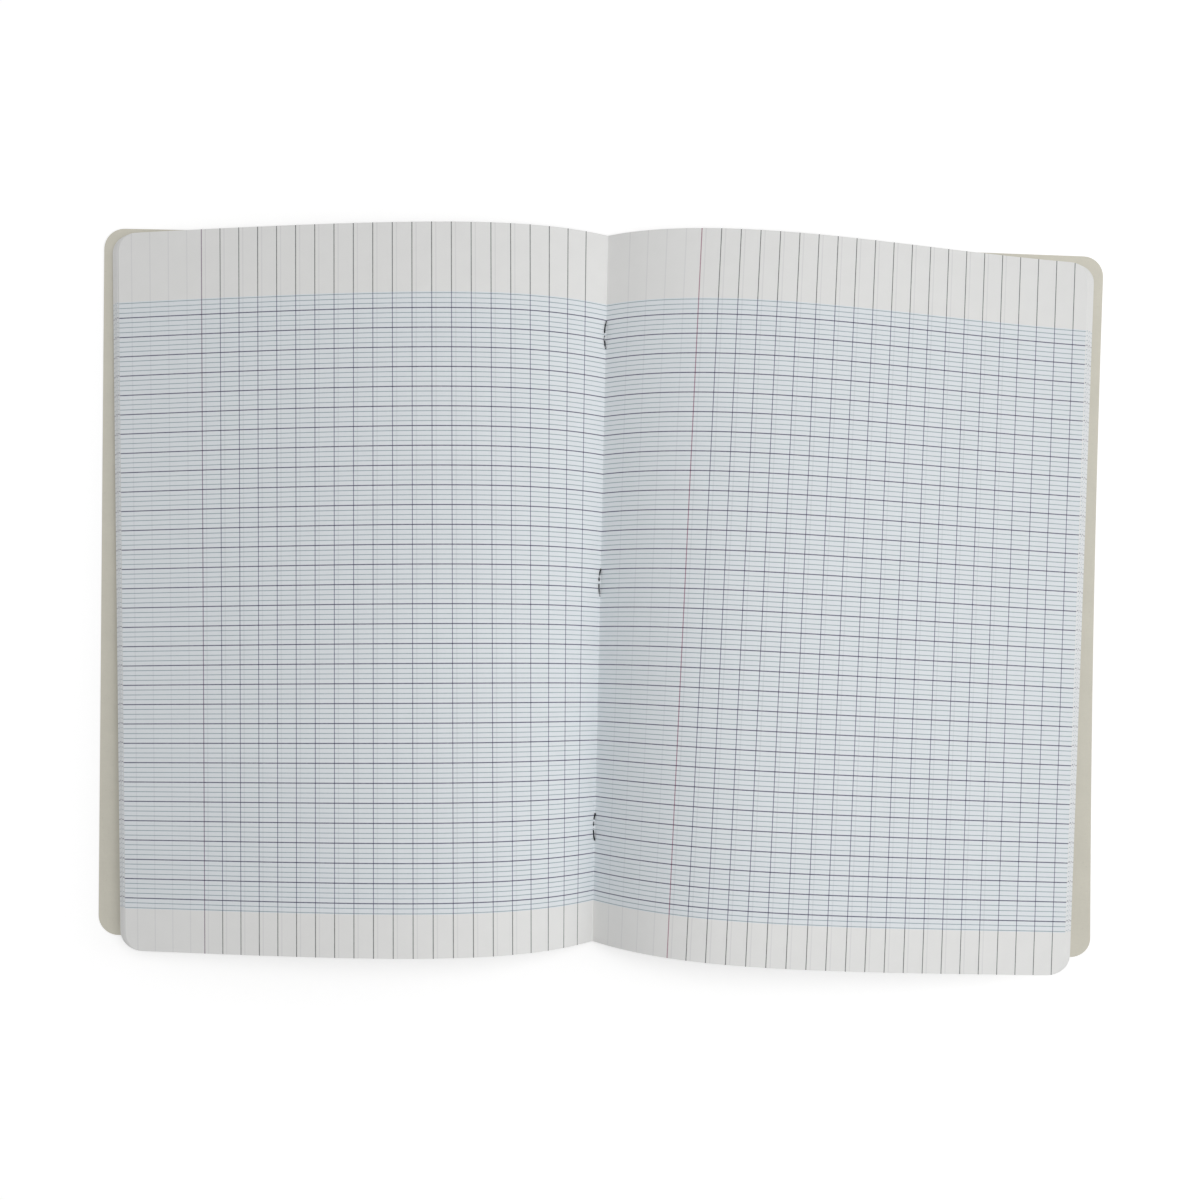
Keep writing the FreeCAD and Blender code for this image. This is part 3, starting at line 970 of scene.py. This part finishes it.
@dataclass(frozen=True)
class PaperFinish(FibreFinish):
    """Uncoated writing paper with a ruling of 8 mm squares, each divided by three lighter lines.

    Attributes:
        ruled_tint: colour of the ruled part of the page, over the paper's own.
        band_ink: ink of the upright lines in the blank bands.
        through: how much of the other side's upright lines shows through.
        sheet_tone: how much the sheets differ in shade.
        ink_grain: size per metre of the ink's unevenness.
        ink_least, ink_more: lowest density of the ink, and how much the unevenness adds.
    """

    ruling: Ruling = Ruling()
    base: tuple = colour(0.80, 0.80, 0.79)
    ruled_tint: tuple = colour(0.96, 1.005, 1.055)
    row_ink: tuple = colour(0.13, 0.13, 0.20)
    fine_ink: tuple = colour(0.38, 0.46, 0.49)
    upright_ink: tuple = colour(0.25, 0.24, 0.33)
    margin_left: tuple = colour(0.36, 0.28, 0.36)
    margin_right: tuple = colour(0.50, 0.27, 0.35)
    band_ink: tuple = colour(0.13, 0.14, 0.145)
    through: float = 0.10
    sheet_tone: float = 0.012
    rough: float = 0.78
    relief: float = 0.25
    ink_grain: float = 900.0
    ink_least: float = 0.78
    ink_more: float = 0.35

    def paper(self, graph: Graph, vector: bpy.types.NodeSocket) -> tuple:
        """Paper before printing.

        Args:
            graph: the material's graph.
            vector: coordinates that the fibres follow.

        Returns:
            Its colour, and the node of its fibres.
        """
        fibres = graph.group(self.effects.fibres, Vector=vector)
        tone = graph.node("Attribute", attribute_name="tone").outputs["Fac"]
        start = graph.math("MULTIPLY_ADD", tone, self.sheet_tone, 1 - self.cloudy / 2)
        shade = self.shade(graph, fibres, start)
        return graph.tint("MULTIPLY", 1.0, self.base, graph.grey(shade)), fibres

    def build_rim(self) -> bpy.types.Material:
        """Makes and returns the material of the leaves' cut edges, without printing."""
        material, graph = new_material("leaf_edge")
        place = graph.node("TexCoord").outputs["Object"]
        self.finish(graph, *self.paper(graph, place), self.rough, self.relief)
        return material

    def build(self) -> bpy.types.Material:
        """Both sides of the leaves, with their printed lines.

        Returns:
            The material, which reads the piece's own page coordinates.
        """
        material, graph = new_material("ruled_paper")
        page = graph.node("UVMap", uv_map="page").outputs[0]
        paint, fibres = self.paper(graph, page)
        split = graph.feed(graph.node("SeparateXYZ"), Vector=page)
        across = graph.math("MULTIPLY", split.outputs["X"], MILLIMETRES)
        down = graph.math("MULTIPLY", split.outputs["Y"], MILLIMETRES)
        rule = self.ruling
        near, half = rule.near, rule.spacing / 2

        def lines(value: object, first: float, step: float, width: float, low: float, high: float) -> object:
            """Mask of the lines of one width every `step` from `first`, between `low` and `high`."""
            made = graph.group(self.effects.stripes, Coordinate=value, Offset=first, Spacing=step)
            return graph.feed(made, Width=width, Low=low, High=high).outputs["Mask"]

        def columns(first: float, low: float, high: float, width: float) -> object:
            """Mask of the upright lines from `first` on."""
            return lines(across, first, rule.spacing, width, low, high)

        inked = lines(down, rule.first_row, rule.page, rule.page, rule.low_fine, rule.top_fine)
        paint = graph.tint("MULTIPLY", inked, paint, self.ruled_tint)
        wear = graph.feed(graph.node("TexNoise"), Vector=page, Scale=self.ink_grain)
        density = graph.math("MULTIPLY_ADD", wear.outputs["Fac"], self.ink_more, self.ink_least)
        density.node.use_clamp = True
        backs = ((-rule.right_last, -rule.right_margin), (-rule.left_last, -rule.left_margin))
        shown = [columns(first, first - near, last + near, rule.shown_width) for first, last in backs]
        through = graph.math("MULTIPLY", graph.math("ADD", *shown), self.through)
        paint = graph.tint("MULTIPLY", through, paint, self.upright_ink)
        first, last = rule.first_row, rule.last_row
        fine = lines(down, first, rule.fine, rule.fine_width, rule.low_fine, rule.top_fine)
        rows = lines(down, first, rule.spacing, rule.row_width, last - near, first + near)
        fine = graph.math("MULTIPLY", fine, graph.math("SUBTRACT", 1.0, rows))
        sides = ((rule.left_margin, rule.left_last), (rule.right_margin, rule.right_last))
        upright = [columns(first, first + half, last + near, rule.upright_width) for first, last in sides]
        margins = [columns(first, first - near, first + near, rule.margin_width) for first, _ in sides]
        upright_ink = graph.tint("MIX", inked, self.band_ink, self.upright_ink)
        printed = [(fine, self.fine_ink), (graph.math("ADD", *upright), upright_ink)]
        printed += [*zip(margins, (self.margin_left, self.margin_right)), (rows, self.row_ink)]
        for mask, ink in printed:
            paint = graph.tint("MULTIPLY", graph.math("MULTIPLY", mask, density), paint, ink)
        self.finish(graph, paint, fibres, self.rough, self.relief)
        return material


@dataclass(frozen=True)
class CardFinish(FibreFinish):
    """Uncoated grey-beige card, smooth and plain outside.

    Attributes:
        core: colour of the cut edge.
        fibre_size: size of the card's fibres, against the paper's.
        fleck_grain, fleck_size, fleck_depth: flecks per metre, their size and how much darker they are.
    """

    inside: tuple = colour(0.69, 0.665, 0.575)
    outside: tuple = colour(0.50, 0.48, 0.41)
    core: tuple = colour(0.42, 0.40, 0.34)
    fibre_size: float = 0.6
    cloudy: float = 0.12
    streaky: float = 0.10
    fleck_grain: float = 420.0
    fleck_size: float = 0.12
    fleck_depth: float = 0.05
    rough_streak: float = 0.15
    gloss: float = 0.3
    relief_depth: float = 0.00008

    def side(self, name: str, base: tuple, rough: float, relief: float) -> bpy.types.Material:
        """One face of the card.

        Args:
            name: the material's name.
            base: its colour.
            rough: its least roughness.
            relief: how much of the fibres' relief shows.

        Returns:
            The material.
        """
        material, graph = new_material(name)
        place = graph.node("TexCoord").outputs["Object"]
        fibres = graph.group(self.effects.fibres, Vector=place, Scale=self.fibre_size)
        shade = self.shade(graph, fibres, 1 - (self.cloudy + self.streaky) / 2)
        flecks = graph.feed(graph.node("TexVoronoi", feature="F1"), Vector=place, Scale=self.fleck_grain)
        spots = graph.math("LESS_THAN", flecks.outputs["Distance"], self.fleck_size)
        shade = graph.math("SUBTRACT", shade, graph.math("MULTIPLY", spots, self.fleck_depth))
        paint = graph.tint("MULTIPLY", 1.0, base, graph.grey(shade))
        self.finish(graph, paint, fibres, rough, relief)
        return material

    def build(self) -> list[bpy.types.Material]:
        """The inside, the outside and the cut edge."""
        return [
            self.side("card_inside", self.inside, rough=0.75, relief=0.3),
            self.side("card_outside", self.outside, rough=0.55, relief=0.12),
            self.side("card_edge", self.core, rough=0.85, relief=0.4),
        ]


@dataclass(frozen=True)
class WireFinish:
    """Drawn steel wire, whose colour is mostly painted shade, with painted highlights as bright patches at
    random.

    Attributes:
        grain, detail: size per metre and detail of the patches of painted highlight and painted shade.
        steep, offset: how sharply the painted shade and the painted highlights part, and where.
        rough, rough_more: least roughness, and how much the patches add.
        relief, relief_depth: strength of the relief and its depth in metres.
    """

    # The first colour is the wire's painted highlight, the second its painted shade.
    base: tuple = colour(0.66, 0.68, 0.71)
    painted_shade: tuple = colour(0.02, 0.025, 0.03)
    grain: float = 420.0
    detail: float = 3.0
    steep: float = 6.0
    offset: float = -2.0
    rough: float = 0.12
    rough_more: float = 0.3
    relief: float = 0.2
    relief_depth: float = 0.00002

    def build(self) -> bpy.types.Material:
        """Makes and returns the wire's material."""
        material, graph = new_material("staple_steel")
        place = graph.node("TexCoord").outputs["Object"]
        noise = graph.feed(graph.node("TexNoise"), Vector=place, Scale=self.grain, Detail=self.detail)
        patches = noise.outputs["Fac"]
        # Share of painted shade from the noise: most of the wire is painted dark, and the rest is painted
        # highlight.
        painted_shade_share = graph.math("MULTIPLY_ADD", patches, self.steep, self.offset)
        painted_shade_share.node.use_clamp = True
        paint = graph.tint("MIX", painted_shade_share, self.base, self.painted_shade)
        rough = graph.math("MULTIPLY_ADD", patches, self.rough_more, self.rough)
        graph.feed(graph.shader, Base_Color=paint, Metallic=1.0, Roughness=rough)
        graph.bump(patches, self.relief, self.relief_depth)
        return material


@dataclass(frozen=True)
class Studio:
    """White floor, pale surroundings, a soft light from the right, and the camera above the book.

    Attributes:
        turn: axis of the camera's turn from straight down, by its length in degrees.
        place: the camera's place, in millimetres.
        lens: focal length for a sensor 36 mm wide.
        rise: how far the frame is shifted up the picture plane.
        ambient: strength of the pale surroundings.
        sky_power, sky_softness, sky_from: the soft sun, its width in degrees and where it stands.
        side_power, side_size, side_place: the lamp at the right, its size and place in metres.
        top_power, top_size, top_place: the lamp overhead.
        floor_base, floor_glow, floor_rise: the floor's colour, what it adds for the camera in
            the middle, and how much more it adds a metre further out.
        floor_reach, floor_drop: half the floor's width and its place under the book, in metres.
    """

    turn: tuple = (1.96, 1.08, -1.29)
    place: tuple = (-8.4, -36.6, 504.0)
    sensor: float = 36.0
    lens: float = 35.43
    rise: float = 0.1044
    ambient: float = 0.375
    sky_power: float = 0.70
    sky_softness: float = 60.0
    sky_from: tuple = (0.31, 0.0, 0.95)
    side_power: float = 1.8
    side_size: float = 0.7
    side_place: tuple = (0.9, 0.12, 0.6)
    top_power: float = 0.74
    top_size: float = 0.3
    top_place: tuple = (0.1, 0.0, 0.6)
    floor_base: tuple = colour(0.8, 0.8, 0.8)
    floor_glow: float = 0.36
    floor_rise: float = 0.2
    floor_reach: float = 3.0
    floor_drop: float = 0.0002
    white: tuple = colour(1.0, 1.0, 1.0)

    def build(self) -> None:
        """Adds the camera, the lights, the world and the floor."""
        self.camera()
        self.light()
        self.world()
        self.floor()

    def camera(self) -> None:
        """Looks down on the book as the photograph does."""
        data = bpy.data.cameras.new("camera")
        data.sensor_width, data.lens, data.shift_y = self.sensor, self.lens, self.rise
        camera = new_object("camera", data)
        camera.location = Vector(self.place) * METRES
        turn = Vector(self.turn)
        camera.rotation_mode = "QUATERNION"
        camera.rotation_quaternion = Quaternion(-turn.normalized(), math.radians(turn.length))
        bpy.context.scene.camera = camera
        bpy.context.scene.view_settings.view_transform = "Standard"

    def light(self) -> None:
        """A very soft sun from the upper right, a near lamp on that side and one overhead."""
        sky = bpy.data.lights.new("sky", "SUN")
        sky.energy, sky.angle = self.sky_power, math.radians(self.sky_softness)
        side, top = (bpy.data.lights.new(name, "AREA") for name in ("side_lamp", "top_lamp"))
        side.shape, side.size, side.energy = "DISK", self.side_size, self.side_power
        top.shape, top.size, top.energy = "DISK", self.top_size, self.top_power
        for data, place in ((sky, self.sky_from), (side, self.side_place), (top, self.top_place)):
            light = new_object(data.name, data)
            light.location = place
            light.visible_camera = False
            light.rotation_mode = "QUATERNION"
            light.rotation_quaternion = Vector(place).to_track_quat("Z", "Y")

    def world(self) -> None:
        """Pale all round, and white to the camera."""
        world = bpy.data.worlds.new("surroundings")
        world.use_nodes = True
        graph = Graph(world.node_tree)
        back = world.node_tree.nodes["Background"]
        seen = graph.node("LightPath").outputs["Is Camera Ray"]
        graph.feed(back, Color=self.white, Strength=graph.math("MAXIMUM", seen, self.ambient))
        bpy.context.scene.world = world

    def floor(self) -> None:
        """A white floor that keeps the book's shadow."""
        mesh = bpy.data.meshes.new("floor")
        reach = self.floor_reach
        corners = [(-reach, -reach, 0), (reach, -reach, 0), (reach, reach, 0), (-reach, reach, 0)]
        mesh.from_pydata(corners, [], [(0, 1, 2, 3)])
        material, graph = new_material("floor")
        seen = graph.node("LightPath").outputs["Is Camera Ray"]
        far = graph.node("VectorMath", operation="LENGTH")
        graph.put(far.inputs[0], graph.node("TexCoord").outputs["Object"])
        glow = graph.math("MULTIPLY_ADD", far.outputs["Value"], self.floor_rise, self.floor_glow)
        glow = graph.math("MULTIPLY", seen, glow)
        graph.feed(graph.shader, Base_Color=self.floor_base, Roughness=1.0, Specular_IOR_Level=0.0)
        graph.feed(graph.shader, Emission_Color=self.white, Emission_Strength=glow)
        mesh.materials.append(material)
        floor = new_object("floor", mesh)
        floor.location.z = -self.floor_drop
        floor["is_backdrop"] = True


def corners() -> list[list[float]]:
    """The shown object's lowest and highest corner."""
    return [list(corner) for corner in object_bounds()]


def main() -> None:
    """Loads the frame and builds the book over it."""
    logging.basicConfig(level=logging.INFO, format="%(name)s: %(message)s")
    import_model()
    Studio().build()
    LOG.info("stage and camera ready")
    effects = Effects()
    LeafStack().build(PaperFinish(effects))
    LOG.info("leaves ready")
    card = CardFinish(effects)
    left = CardCover(Side.LEFT, corner_lift=0.0, skew=2.0, spare=0.3)
    left.build(card, "front_cover", ("front_cover", "cover_spine"))
    right = CardCover(Side.RIGHT, corner_lift=12.0, skew=1.5, spare=0.5)
    right.build(card, "back_cover", ("back_cover", "cover_spine"))
    LOG.info("cover ready")
    for end in ("head", "middle", "tail"):
        low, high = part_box("staple_" + end)
        middle = (low.y + high.y) / 2 / METRES
        Staple("wire_" + end, middle + Staple.headward).build(WireFinish(), "staple_" + end)
    LOG.info("staples ready")


if __name__ == "__main__":
    main()
